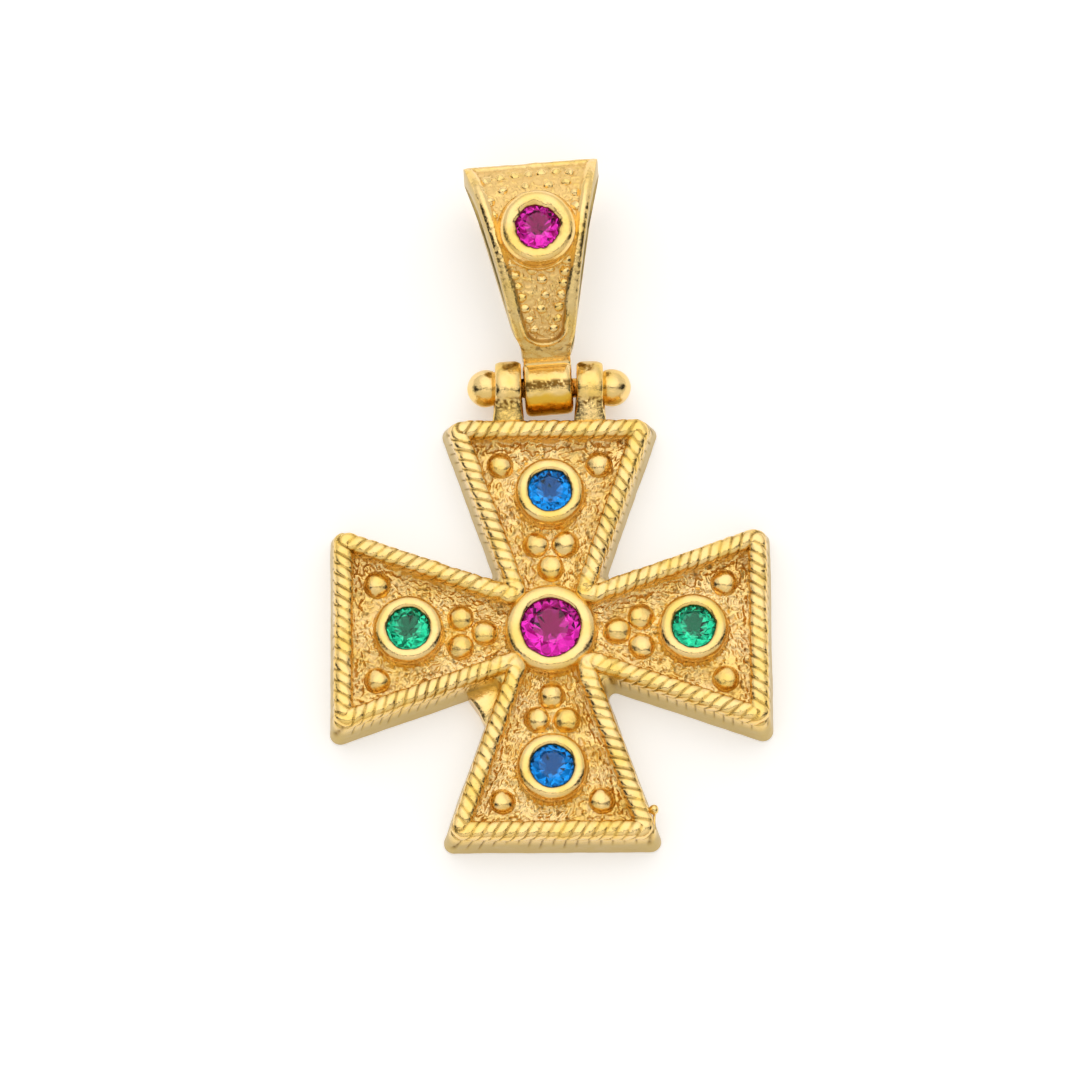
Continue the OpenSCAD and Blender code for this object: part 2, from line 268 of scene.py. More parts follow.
def fused(*pieces):
    """One part out of several, each with its shares. A share that a piece lacks is 0 on it."""
    keys = sorted({key for _, shares in pieces for key in shares})
    return joined(*(part for part, _ in pieces)), {
        key: np.concatenate([shares.get(key, np.zeros(len(part[0]))) for part, shares in pieces])
        for key in keys
    }


def loft(rings, flip=False):
    """A closed solid through rings of the same number of points, with a fan over each end."""
    rings = np.asarray(rings, float)
    count, n = rings.shape[:2]
    points = np.concatenate([rings.reshape(-1, 3), rings[:1].mean(1), rings[-1:].mean(1)])
    faces = grid_faces(count, n, close_columns=True)
    faces += fan_faces(range(n), count * n, flip=True)
    faces += fan_faces(range((count - 1) * n, count * n), count * n + 1)
    return points, [f[::-1] for f in faces] if flip else faces


def lathe(profile, sides, closed=False):
    """Turns a profile of (radius, height) round +Z. An open one starts and ends on the axis."""
    profile = np.asarray(profile, float)
    angles = np.arange(sides) * 2 * pi / sides
    body = profile if closed else profile[1:-1]
    across = [np.outer(body[:, 0], turn(angles)).ravel() for turn in (np.cos, np.sin)]
    points = points_of(*across, np.repeat(body[:, 1], sides))
    faces = grid_faces(len(body), sides, close_rows=closed, close_columns=True)
    if closed:
        return points, faces
    n = len(points)
    faces += fan_faces(range(sides), n, flip=True)
    faces += fan_faces(range(n - sides, n), n + 1)
    return np.concatenate([points, [[0, 0, profile[0, 1]], [0, 0, profile[-1, 1]]]]), faces


def placed(part, matrix):
    """A part moved by a 4x4 matrix."""
    m = np.array(matrix)
    return part[0] @ m[:3, :3].T + m[:3, 3], part[1]


def move(x, y, z):
    return Matrix.Translation((x, y, z))


def turn_z(angle):
    return Matrix.Rotation(angle, 4, "Z")


def turned(flat, k):
    """Points of a plane after k quarter turns."""
    return flat @ np.array(turn_z(k * pi / 2))[:2, :2].T


Z_TO_X = Matrix.Rotation(pi / 2, 4, "Y")


def outward_of(line):
    """Unit vectors out of a closed line that runs anticlockwise."""
    ahead = np.roll(line, -1, 0) - np.roll(line, 1, 0)
    return points_of(ahead[:, 1], -ahead[:, 0]) / np.linalg.norm(ahead, axis=1, keepdims=True)


def grain(points, size, seed, octaves=1):
    """Smooth noise from -1 to 1 at points, with features of about the given size."""
    p = np.asarray(points, float) / size + seed * 17.3
    total = np.zeros(len(p))
    for octave in range(octaves):
        finer = 2 ** octave
        total += np.array([noise.noise(q) for q in (p * finer).tolist()]) / finer
    return total


def uneven(part, size, height, seed, octaves=1):
    """A part whose points are pushed about along all three axes, as a casting's surface is."""
    points, faces = part
    return points + height * points_of(*(grain(points, size, seed + i, octaves) for i in range(3))), faces


def step(low, high, x):
    """Smooth step from 0 at low to 1 at high."""
    t = np.clip((x - low) / (high - low), 0, 1)
    return t * t * (3 - 2 * t)


# Objects

def keep(mesh, key, values, domain="POINT"):
    """Stores a number or a vector for each point or face of a mesh."""
    kind, field = ("FLOAT_VECTOR", "vector") if np.ndim(values) > 1 else ("FLOAT", "value")
    layer = mesh.attributes.new(key, kind, domain)
    layer.data.foreach_set(field, np.ravel(values).astype(np.float32))


def new_mesh(name, points, edges, faces, shares):
    mesh = bpy.data.meshes.new(name)
    mesh.from_pydata((np.asarray(points, float) * MM).tolist(), edges, faces)
    for key, values in shares.items():
        keep(mesh, key, values)
    return mesh


def linked(name, data):
    """An object of the scene."""
    obj = bpy.data.objects.new(name, data)
    bpy.context.scene.collection.objects.link(obj)
    return obj


def solid(name, part, shares, finish, flat=False):
    """A mesh object from a part and its shares."""
    mesh = new_mesh(name, part[0], [], part[1], shares)
    mesh.materials.append(finish)
    if not flat:
        mesh.shade_smooth()
    mesh.validate()
    return linked(name, mesh)


# Node graphs

class Value:
    """A socket that takes part in arithmetic: each operator adds a Math node to its graph."""

    def __init__(self, graph, socket):
        self.graph = graph
        self.socket = socket

    def __add__(self, other):
        return self.graph.math("ADD", self, other)

    def __sub__(self, other):
        return self.graph.math("SUBTRACT", self, other)

    def __rsub__(self, other):
        return self.graph.math("SUBTRACT", other, self)

    def __mul__(self, other):
        return self.graph.math("MULTIPLY", self, other)

    def __truediv__(self, other):
        return self.graph.math("DIVIDE", self, other)

    def __pow__(self, other):
        return self.graph.math("POWER", self, other)

    def __abs__(self):
        return self.graph.math("ABSOLUTE", self)


class Graph:
    """A node tree that is written as expressions."""

    def __init__(self, tree):
        self.tree = tree

    def add(self, kind, sockets=None, out=0, **settings):
        """A node with its settings, and the values or links of its sockets. Gives one output."""
        node = self.tree.nodes.new(kind)
        for key, value in settings.items():
            setattr(node, key, value)
        for key, value in (sockets or {}).items():
            if isinstance(value, Value):
                self.tree.links.new(value.socket, node.inputs[key])
            else:
                node.inputs[key].default_value = value
        return Value(self, node.outputs[out]) if len(node.outputs) else node

    def math(self, operation, *values):
        return self.add("ShaderNodeMath", dict(enumerate(values)), operation=operation)

    def ramp(self, value, low, high, to_low=0.0, to_high=1.0):
        """Smooth change from to_low to to_high while value goes from low to high."""
        return self.add(
            "ShaderNodeMapRange",
            {"Value": value, "From Min": low, "From Max": high, "To Min": to_low, "To Max": to_high},
            interpolation_type="SMOOTHSTEP",
        )

    def colour(self, share, a, b):
        """A colour between a, at share 0, and b, at share 1."""
        return self.add("ShaderNodeMix", {"Factor": share, 6: a, 7: b}, out=2, data_type="RGBA")

    def split(self, vector):
        """The three components of a vector."""
        node = self.tree.nodes.new("ShaderNodeSeparateXYZ")
        self.tree.links.new(vector.socket, node.inputs[0])
        return [Value(self, output) for output in node.outputs]

    def scaled(self, vector, factor):
        return self.add("ShaderNodeVectorMath", {0: vector, "Scale": factor}, operation="SCALE")

    def noise(self, vector, size, detail=2.0, roughness=0.5):
        """Noise of about the given feature size, in millimetres."""
        return self.add("ShaderNodeTexNoise", {
            "Vector": vector, "Scale": 1 / (size * MM), "Detail": detail, "Roughness": roughness,
        })

    def attribute(self, name, out="Fac"):
        """What a shader reads of a stored attribute."""
        return self.add("ShaderNodeAttribute", out=out, attribute_name=name)

    def named(self, name):
        """What a geometry tree reads of a stored number."""
        return self.add("GeometryNodeInputNamedAttribute", {"Name": name}, data_type="FLOAT")

    def store(self, geometry, name, value):
        """A geometry whose points keep a number under a name."""
        return self.add(
            "GeometryNodeStoreNamedAttribute", {0: geometry, "Name": name, "Value": value},
            data_type="FLOAT", domain="POINT",
        )

    def pushed(self, geometry, distance):
        """A geometry whose points are moved along their normals."""
        offset = self.scaled(self.add("GeometryNodeInputNormal"), distance)
        return self.add("GeometryNodeSetPosition", {0: geometry, "Offset": offset})


def material_graph(name):
    material = bpy.data.materials.new(name)
    material.use_nodes = True
    material.node_tree.nodes.clear()
    return material, Graph(material.node_tree)


def shade(graph, sockets):
    """The surface shader and the output of a material."""
    shader = graph.add("ShaderNodeBsdfPrincipled", sockets)
    graph.add("ShaderNodeOutputMaterial", {"Surface": shader})


# Gold colours. The fourth is painted shade on walls and on the bail's sides and inside; the fifth is a warm
# tone and painted reflection of nearby gold; the sixth is painted shade in grooves, holes, pits and seams,
# and the colour of dirt and specks.
GOLD = (0.95, 0.69, 0.3, 1)
GOLD_DEEP = (0.92, 0.63, 0.17, 1)
GOLD_FROST = (0.96, 0.7, 0.34, 1)
GOLD_DULL_AND_SHADE = (0.58, 0.43, 0.16, 1)
GOLD_AMBER = (0.87, 0.53, 0.06, 1)
SHADE_AND_DIRT_DARK = (0.23, 0.115, 0.02, 1)
GOLD_BUMP = 0.022


def cast_gold():
    """Polished plating with soft hand-finished waves.

    It is frosted where the matt attribute is 1. Where the dull one is, it takes painted shade: a darker
    colour, with more roughness. Where the amber one is, it is deep in colour, from a warm tone and from
    painted reflection of nearby gold. Where the crease one is, it is dark: painted shade in grooves, holes,
    pits and seams, and dirt.
    """
    material, g = material_graph("cast_gold")
    place = g.add("ShaderNodeTexCoord", out="Object")
    matt, dull, crease, amber = (g.attribute(name) for name in ("matt", "dull", "crease", "amber"))
    clouds = g.noise(place, 1.6, 3)
    wave = g.noise(place, 0.42)
    pits = g.noise(place, 0.11, 3, 0.6)
    sand = g.noise(place, 0.04)
    patches = g.ramp(g.noise(place, 0.7, 1), 0.35, 0.6)
    specks = g.ramp(g.noise(place, 0.075), 0.56, 0.68) * patches * matt
    tone = g.colour(g.ramp(clouds, 0.35, 0.7), GOLD, GOLD_DEEP)
    frosted = g.colour(matt, g.colour(dull, tone, GOLD_DULL_AND_SHADE), GOLD_FROST)
    warm = g.colour(amber, frosted, GOLD_AMBER)
    rough = g.ramp(clouds, 0.3, 0.75, 0.14, 0.24) + g.ramp(pits, 0.5, 0.8, 0, 0.08)
    height = wave + g.ramp(pits, 0.45, 0.75) * 0.16 + sand * matt * 0.4
    shade(g, {
        "Base Color": g.colour(crease + specks * 0.5, warm, SHADE_AND_DIRT_DARK),
        "Metallic": 1.0,
        "Roughness": rough + matt * 0.3 + dull * 0.15 + crease * 0.2,
        "Normal": g.add("ShaderNodeBump", {"Strength": 1.0, "Distance": GOLD_BUMP * MM, "Height": height}),
    })
    return material


def crystal(name, body, deep, bright):
    """The two finishes of a stone: the clear crown, and the pavilion's mirror-like facets behind it.

    Each facet behind has its own painted glint, a colour from deep to bright, and its own lean, which
    spread the glitter. The facets also give a faint painted glow in their own colour.
    """
    crown, g = material_graph(name + "_crown")
    shade(g, {
        "Base Color": body,
        "Roughness": 0.0,
        "IOR": 1.4,
        "Transmission Weight": 1.0,
        "Specular Tint": (0.25, 0.25, 0.25, 1),
        "Coat Weight": g.attribute("table"),
        "Coat Roughness": 0.0,
        "Normal": g.add("ShaderNodeNewGeometry", out="True Normal"),
    })
    pavilion, g = material_graph(name + "_pavilion")
    normal = g.add(
        "ShaderNodeVectorTransform", {"Vector": g.attribute("lean", "Vector")},
        vector_type="NORMAL", convert_from="OBJECT", convert_to="WORLD",
    )
    tint = g.colour(g.attribute("spark"), deep, bright)
    shade(g, {
        "Base Color": tint,
        "Metallic": 1.0,
        "Roughness": 0.02,
        "Normal": normal,
        # The facets glow faintly in their colour: painted light
        "Emission Color": tint,
        "Emission Strength": 0.08,
    })
    return crown, pavilion


# The cross

def corner_arc(a, b, c, radius):
    """Points of the arc that rounds corner b between its neighbours a and c."""
    u, v = ((end - b) / np.linalg.norm(end - b) for end in (a, c))
    half = acos(np.clip(u @ v, -1, 1)) / 2
    centre = b + (u + v) / np.linalg.norm(u + v) * radius / sin(half)
    first, last = (b + way * radius / tan(half) - centre for way in (u, v))
    start = atan2(first[1], first[0])
    sweep = (atan2(last[1], last[0]) - start + pi) % (2 * pi) - pi
    angles = start + sweep * np.linspace(0, 1, CORNER_STEPS)
    return centre + radius * points_of(np.cos(angles), np.sin(angles))


def outline(d):
    """The outline of the cross moved outwards by d, with the same number of points for any d."""
    reach = REACH + d
    half = END_HALF_W + (SIDE_SLOPE + SIDE_STRETCH) * d
    notch = NOTCH_AT + SIDE_STRETCH * d / (1 - SIDE_SLOPE)
    corner_r = CORNER_R + max(min(d, 0), -CORNER_LOSS)
    corners = np.array([
        (reach, half), (notch, notch), (half, reach), (-half, reach), (-notch, notch), (-reach, half),
    ])
    radii = (NOTCH_R, corner_r, corner_r, NOTCH_R)
    arcs = [corner_arc(*corners[i:i + 3], radius) for i, radius in enumerate(radii)]
    arm = []
    for arc, after, steps in zip(arcs, arcs[1:], (FLANK_STEPS, END_STEPS, FLANK_STEPS)):
        arm += [arc, arc[-1] + (after[0] - arc[-1]) * np.linspace(0, 1, steps + 1)[1:-1, None]]
    return np.concatenate([turned(np.concatenate(arm), k) for k in range(ARMS)])


def rope_line():
    """The rope's centre line, and the distance along it at each of its points and at its end."""
    line = outline(-ROPE_R)
    sides = np.linalg.norm(np.roll(line, -1, 0) - line, axis=1)
    return line, np.concatenate([[0], np.cumsum(sides)])


def rope_turns(at, length):
    """Number of strands from the start of the rope to a distance along it, for its real pitch."""
    return at / length * round(length / ROPE_PITCH)


def wall_grooves(points, turns):
    """Depth from 0 to 1 of the grooves that run down the side walls from the rope."""
    down = ROPE_Z - points[:, 2]
    valley = np.abs(2 * ((turns + GROOVE_SLANT * down) % 1) - 1) ** 9
    reach_down = 0.9 + 0.6 * grain(points_of(np.round(turns), 0, 0), 1.7, 5)
    return valley * (1 - step(reach_down - 0.35, reach_down, down))


def plate():
    """The plate of the cross with its shares: back, walls, shoulder and hidden top."""
    along = rope_line()[1]
    turns = rope_turns(along[:-1], along[-1])
    rows = [(DRAFT - 0.13, 0), (DRAFT - 0.05, 0.025), (DRAFT - 0.01, 0.07)]
    back = outline(rows[0][0])
    rows += [(DRAFT * (1 - t), WALL_FOOT_Z + t * WALL_H) for t in np.linspace(0, 1, WALL_ROWS)]
    rows += [(-0.02, 1.71), (-0.09, 1.76), (-0.4, 1.76), (-0.62, 1.4), (-0.9, HOLLOW_Z)]
    rings = [points_of(*(back * t).T, 0) for t in (0.25, 0.5, 0.75)]
    groove_shade_rings = [turns * 0 for _ in rings]
    for d, z in rows:
        flat = outline(d)
        ring = points_of(*flat.T, z)
        share = step(0.0, 0.1, z) * (d > -0.1)
        waves = 0.03 * grain(ring, 2.2, 3) + 0.015 * grain(ring, 0.5, 4)
        grooves = wall_grooves(ring, turns) * share
        ring[:, :2] += outward_of(flat) * (waves * share - WALL_GROOVE * grooves)[:, None]
        rings.append(ring)
        # Painted shade in the grooves
        groove_shade_rings.append(grooves * GROOVE_SHADE)
    part = loft(rings)
    # Painted shade, with more roughness, on the walls: full up to 1.0 mm high, down to 0.3 above 1.6 mm
    dull = 1 - 0.7 * step(1.0, 1.6, part[0][:, 2])
    return part, {"dull": dull, "crease": np.concatenate(groove_shade_rings + [np.zeros(2)])}


def wrinkles(points, seed):
    """Height from 0 to 1 of a cast ground's worm-like ridges and beads at points on a plane."""
    size = WRINKLE_SIZE
    bent = points + size * 0.7 * points_of(grain(points, size, seed), grain(points, size, seed + 1), 0)
    worms = np.exp(-(grain(bent, size, seed + 2) * 4.2) ** 2)
    fine = np.exp(-(grain(bent, size * 0.5, seed + 3) * 4.2) ** 2)
    beads = step(0.1, 0.5, grain(points, size * 0.5, seed + 4))
    patches = step(-0.25, 0.25, grain(points, size * 3, seed + 5))
    return np.clip(0.75 * np.maximum(worms * patches, fine * (1 - patches)) + beads * 0.6, 0, 1.1)


def stone_box(node):
    """A stone's centre seen from the front, its lowest height, and its radius."""
    low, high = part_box(node)
    x, y, _ = np.array((low + high) / 2) / MM
    return x, y, low[2] / MM, (high[0] - low[0]) / 2 / MM


def ground():
    """The sunk ground with its shares: in each arm a sheet that rises to its rim, with a skirt."""
    last = REACH - GROUND_EDGE
    v = np.linspace(GROUND_FROM, last, GROUND_ROWS)
    u = np.linspace(-1, 1, GROUND_COLUMNS)
    half = np.maximum(NOTCH_AT + SIDE_SLOPE * (v - NOTCH_AT) - SIDE_STRETCH * GROUND_EDGE, 0.3)
    local = points_of(np.outer(half, u).ravel(), np.repeat(v, GROUND_COLUMNS))
    count = len(local)
    to_side = np.outer(half, 1 - np.abs(u)).ravel() / SIDE_STRETCH
    edge = np.minimum(to_side, np.repeat(last - v, GROUND_COLUMNS))
    foot, pit = np.zeros(count), np.zeros(count)
    feet = [(across, along, GRANULE_R - 0.04, 0.1) for across, along in ARM_GRANULES]
    feet += [(0, stone_box("top_stone")[1], ARM_SETTING_R, 0.2), (0, 0, CENTRE_SETTING_R, 0.2)]
    for across, along, radius, height in feet:
        away = np.hypot(local[:, 0] - across, local[:, 1] - along)
        foot = np.maximum(foot, height * (1 - step(radius - 0.1, radius + 0.22, away)))
        if radius > GRANULE_R:
            pit = np.maximum(pit, 1 - step(radius - 0.6, radius - 0.35, away))
    numbers = np.arange(count).reshape(GROUND_ROWS, GROUND_COLUMNS)
    sides = [numbers[0, :-1], numbers[:-1, -1], numbers[-1, :0:-1], numbers[:0:-1, 0]]
    ring = np.concatenate(sides).tolist()
    n = len(ring)
    faces = grid_faces(GROUND_ROWS, GROUND_COLUMNS)
    faces += [(ring[i], count + i, count + (i + 1) % n, ring[(i + 1) % n]) for i in range(n)]
    faces += fan_faces(range(count, count + n), count + n, flip=True)
    arms = []
    for k in range(ARMS):
        plan = turned(local, k).T
        flat = points_of(*plan, 0)
        rim = POCKET_RISE * (1 - step(0.0, POCKET_RIM_W, edge + 0.14 * grain(flat, 0.3, 17)))
        relief = wrinkles(flat, 11)
        calm = 1 - 0.8 * np.clip(foot / 0.1, 0, 1) - 0.2 * (rim / 0.4)
        holes = step(0.28, 0.46, grain(flat, 0.14, 19)) * step(-0.2, 0.2, grain(flat, 0.8, 20)) * calm
        z = GROUND_Z - 0.02 + rim + foot + GROUND_RELIEF * relief * calm
        z += GROUND_SAND * grain(flat, 0.12, 16)
        z -= HOLE_DEPTH * holes
        z += (HOLLOW_Z + 0.05 - z) * pit
        skirt = points_of(*plan[:, ring], HOLLOW_Z + 0.02)
        points = np.concatenate([points_of(*plan, z), skirt, skirt.mean(0, keepdims=True)])
        valley = (1 - step(0.1, 0.5, relief)) * step(-0.5, 0.1, grain(flat, 1.1, 18))
        # A random warm tone, and painted reflection of nearby gold where the ground rises to its rim and
        # round the feet of the settings and granules
        warm = 0.35 * step(-0.2, 0.5, grain(flat, 0.9, 21)) + 0.3 * step(0.1, 0.5, rim + foot)
        # Frosted valleys, and painted shade in the holes
        shares = {"matt": 0.24 + 0.56 * valley, "crease": 0.65 * holes, "amber": warm}
        arms.append(((points, faces), {key: np.pad(a, (0, n + 1)) for key, a in shares.items()}))
    return fused(*arms)


def setting(foot_r, stone_r, height, seed, dome=0.46, wobble=0.03, crest_share=0.36):
    """One setting on z = 0: flared foot, wall, a convex rim pushed over by hand, and the stone's seat."""
    opening = stone_r - LIP_OVER
    girdle_z = height - GIRDLE_BELOW_RIM
    girdle_top = girdle_z + GIRDLE_SHARE * stone_r
    lip_z = girdle_top + LIP_OVER * CROWN_SHARE / (1 - TABLE_SHARE) + 0.01
    bulge = foot_r + 0.06
    crest = opening + crest_share * (bulge - opening)
    profile = [
        (0, -SETTING_SINK), (foot_r + 0.2, -SETTING_SINK), (foot_r + 0.2, 0.0), (foot_r + 0.13, 0.05),
        (foot_r + 0.09, 0.12), (foot_r + 0.05, 0.2), (foot_r + 0.03, 0.3),
        (foot_r + 0.035, height - dome - 0.1), (foot_r + 0.05, height - dome - 0.04),
    ]
    for a in np.linspace(0, pi, 31):
        edge_z, reach = (height - dome, bulge - crest) if a < pi / 2 else (lip_z, crest - opening)
        level = copysign(abs(cos(a)) ** RIM_FULLNESS, cos(a))
        rise = (height - edge_z) * sin(a) ** RIM_FULLNESS
        profile.append((crest + reach * level, edge_z + rise))
    profile += [
        (stone_r + 0.03, girdle_top + 0.02), (stone_r + 0.03, girdle_z - 0.02),
        (0, girdle_z - PAVILION_SHARE * stone_r - 0.04),
    ]
    points, faces = lathe(profile, 144)
    away = np.hypot(points[:, 0], points[:, 1])
    angle = np.arctan2(points[:, 1], points[:, 0])
    ring = points_of(np.cos(angle), np.sin(angle), seed * 3.7)
    high = step(height - dome - 0.25, height - dome, points[:, 2])
    lip = high * (1 - step(opening + 0.02, opening + 0.3, away))
    push = wobble * (grain(ring, 0.55, seed) + 0.8 * grain(ring, 0.2, seed + 1)) * lip
    push += 0.02 * grain(ring, 0.6, seed + 3) * high
    scale = 1 + push / np.maximum(away, 0.1)
    points = points * points_of(scale, scale, 1)
    points[:, 2] += wobble * 0.8 * grain(ring, 0.4, seed + 2) * lip
    return uneven((points, faces), 0.7, 0.015, seed)


def brilliant(radius):
    """A round brilliant with its girdle's foot on z = 0, and the number of faces above that.

    The faces of the pavilion come last, each cut into triangles about its middle.
    """
    half = pi / MAINS

    def ring(count, share, z, shift):
        angles = shift + np.arange(count) * 2 * pi / count
        return points_of(share * np.cos(angles), share * np.sin(angles), z) * radius

    crown_top = GIRDLE_SHARE + CROWN_SHARE
    star_z = GIRDLE_SHARE + CROWN_SHARE * (1 - STAR_SHARE * cos(half)) / (1 - TABLE_SHARE)
    points = np.concatenate([
        ring(MAINS, TABLE_SHARE, crown_top, 0), ring(MAINS, STAR_SHARE, star_z, half),
        ring(2 * MAINS, 1, GIRDLE_SHARE, 0), ring(2 * MAINS, 1, 0, 0),
        ring(2 * MAINS, MIDDLE_SHARE, MIDDLE_Z, half / 2), ring(MAINS, LOWER_SHARE, LOWER_Z, half),
        [[0, 0, -PAVILION_SHARE * radius]],
    ])
    star, top, foot, middle, lower, culet = (n * MAINS for n in (1, 2, 4, 6, 8, 9))
    crown, pavilion = [tuple(range(MAINS))], []
    for k in range(MAINS):
        after, before = (k + 1) % MAINS, (k - 1) % MAINS
        a, b, c = 2 * k, 2 * k + 1, (2 * k + 2) % (2 * MAINS)
        crown += [
            (k, star + k, after), (k, star + before, top + a, star + k),
            (star + k, top + a, top + b), (star + k, top + b, top + c),
            (top + a, foot + a, foot + b, top + b), (top + b, foot + b, foot + c, top + c),
        ]
        pavilion += [
            (middle + a, foot + b, foot + a), (middle + a, middle + b, foot + b),
            (middle + b, foot + c, foot + b), (middle + b, middle + c, foot + c),
            (lower + k, middle + b, middle + a), (lower + k, lower + after, middle + c, middle + b),
            (culet, lower + after, lower + k),
        ]
    cuts = []
    for face in pavilion:
        cuts += fan_faces(face, len(points))
        points = np.concatenate([points, [points[list(face)].mean(0)]])
    return (points, crown + cuts), len(crown)


def pitted(part, centre, reach, size, depth, seed, density=0.0):
    """A part with rough casting pits within reach of a line along X, and how dark each point is."""
    points, faces = part
    away = np.hypot(points[:, 1] - centre[0], points[:, 2] - centre[1])
    share = 1 - step(reach * 0.4, reach, away + 0.25 * reach * grain(points, 0.4, seed))
    shift = points_of(0, grain(points, size, seed + 1), grain(points, size, seed + 2))
    dirt = share * step(-0.15, 0.35, grain(points, size * 1.3, seed + 3) + density)
    return (points + depth * share[:, None] * shift, faces), dirt


def ear(side):
    """One of the two ears with its shares, a lug from the arm's wall round the pin."""
    arc = [
        (HINGE_Y + EAR_R * cos(a), HINGE_Z + EAR_R * sin(a))
        for a in np.linspace(-pi / 2, EAR_TURN, 90)
    ]
    y, z = arc[-1]
    top = [(y + (REACH - y) * t, z + (EAR_FOOT_Z - z) * t ** 0.7) for t in np.linspace(0.04, 1, 30)]
    root = [(REACH - EAR_SINK, root_z) for root_z in (EAR_FOOT_Z - 0.2, 0.9, 0.15)]
    under = [(REACH + t * (HINGE_Y - REACH), 0.12 - 0.09 * t) for t in np.linspace(0.1, 0.9, 9)]
    side_view = np.array(arc + top + root + under)
    outward = outward_of(side_view)
    wide, deep = EAR_BEVEL
    bevel = [(wide * (1 - cos(a)), deep * (1 - sin(a))) for a in np.linspace(0, pi / 2, 9)]
    width = EAR_OUT - EAR_IN
    stations = bevel + [(x, 0.0) for x in np.linspace(0.45, width - 0.45, 10)]
    stations += [(width - x, inset) for x, inset in reversed(bevel)]
    rings = []
    for x, inset in stations:
        view = side_view - outward * inset
        wider = 1 + 0.22 * step(REACH + 0.75, REACH, view[:, 0])
        rings.append(points_of(side * (EAR_IN + EAR_OUT) / 2 + (x - width / 2) * wider, *view.T))
    part = uneven(loft(rings), 0.9, 0.03, 20 + side)
    part, dirt = pitted(part, (HINGE_Y - 0.95, HINGE_Z + 0.8), 0.42, 0.1, 0.035, 24 + side)
    return uneven(part, 0.3, 0.01, 28 + side, 2), {"crease": dirt}


def web():
    """The thin web of metal left in the lower left notch."""
    rings = []
    for inset, z in ((0.0, 0.0), (0.0, WEB_Z - 0.06), (0.05, WEB_Z)):
        rings.append(points_of(*(WEB + (WEB.mean(0) - WEB) * inset).T, z))
    return loft(rings)


def burr():
    """The bead of metal on the bottom arm's right edge, with a thread of metal down the wall."""
    angles = np.linspace(-pi / 2, pi / 2, 20)
    bead = lathe([(BURR_R * cos(a), BURR_R * sin(a)) for a in angles], 32)
    stem = lathe([(0, 0), (0.13, 0), (0.09, 0.25), (0.1, 0.5), (0, 0.5)], 24)
    thread = lathe([(0, 0), (0.07, 0.1), (0.05, 0.5), (0.07, 0.9), (0, 1.0)], 16)
    x, y, z = BURR_AT
    thread = placed(thread, move(x + 0.03, y, z - 0.08) @ Matrix.Rotation(pi / 2, 4, "X"))
    bead = uneven(placed(bead, move(x, y, z)), 0.3, 0.03, 31)
    return joined(placed(stem, move(x - 0.5, y, z) @ Z_TO_X), thread, bead)


def pin():
    """The pin with its two balls."""
    ball = [(BALL_R * sin(a), BALL_AT + BALL_R * cos(a)) for a in np.linspace(0, BALL_TURN, 22)]
    neck_steps = [(0.76, EAR_OUT + 0.04), (0.78, EAR_OUT - 0.06), (PIN_R, EAR_OUT - 0.1), (PIN_R, 0.4)]
    half = ball + neck_steps
    part = lathe([(r, -x) for r, x in half] + half[::-1], 64)
    return uneven(placed(part, move(0, HINGE_Y, HINGE_Z) @ Z_TO_X), 0.6, 0.02, 140)


# Geometry Nodes

def node_group(name, **inputs):
    """A geometry tree with named inputs of the given kinds. Gives its graph and its inputs."""
    tree = bpy.data.node_groups.new(name, "GeometryNodeTree")
    for way in ("INPUT", "OUTPUT"):
        tree.interface.new_socket("Geometry", in_out=way, socket_type="NodeSocketGeometry")
    for label, kind in inputs.items():
        tree.interface.new_socket(label, in_out="INPUT", socket_type="NodeSocket" + kind)
    graph = Graph(tree)
    source = tree.nodes.new("NodeGroupInput")
    return graph, {s.name: Value(graph, s) for s in source.outputs if s.name}


def close_group(graph, geometry, finish):
    """Ends a tree: instances made real, smooth, and with their finish."""
    real = graph.add("GeometryNodeRealizeInstances", {0: geometry})
    smooth = graph.add("GeometryNodeSetShadeSmooth", {0: real})
    finished = graph.add("GeometryNodeSetMaterial", {0: smooth, "Material": finish})
    graph.add("NodeGroupOutput", {0: finished})
    return graph.tree


def grown(name, tree, points, edges, shares, **inputs):
    """Runs a geometry tree on points and gives a plain mesh object."""
    source = linked(name + "_source", new_mesh(name + "_source", points, edges, [], shares))
    modifier = source.modifiers.new("shape", "NODES")
    modifier.node_group = tree
    for item in tree.interface.items_tree:
        if item.in_out == "INPUT" and item.name in inputs:
            modifier[item.identifier] = inputs[item.name]
    evaluated = source.evaluated_get(bpy.context.evaluated_depsgraph_get())
    result = bpy.data.meshes.new_from_object(evaluated)
    result.name = name
    bpy.data.objects.remove(source)
    return linked(name, result)


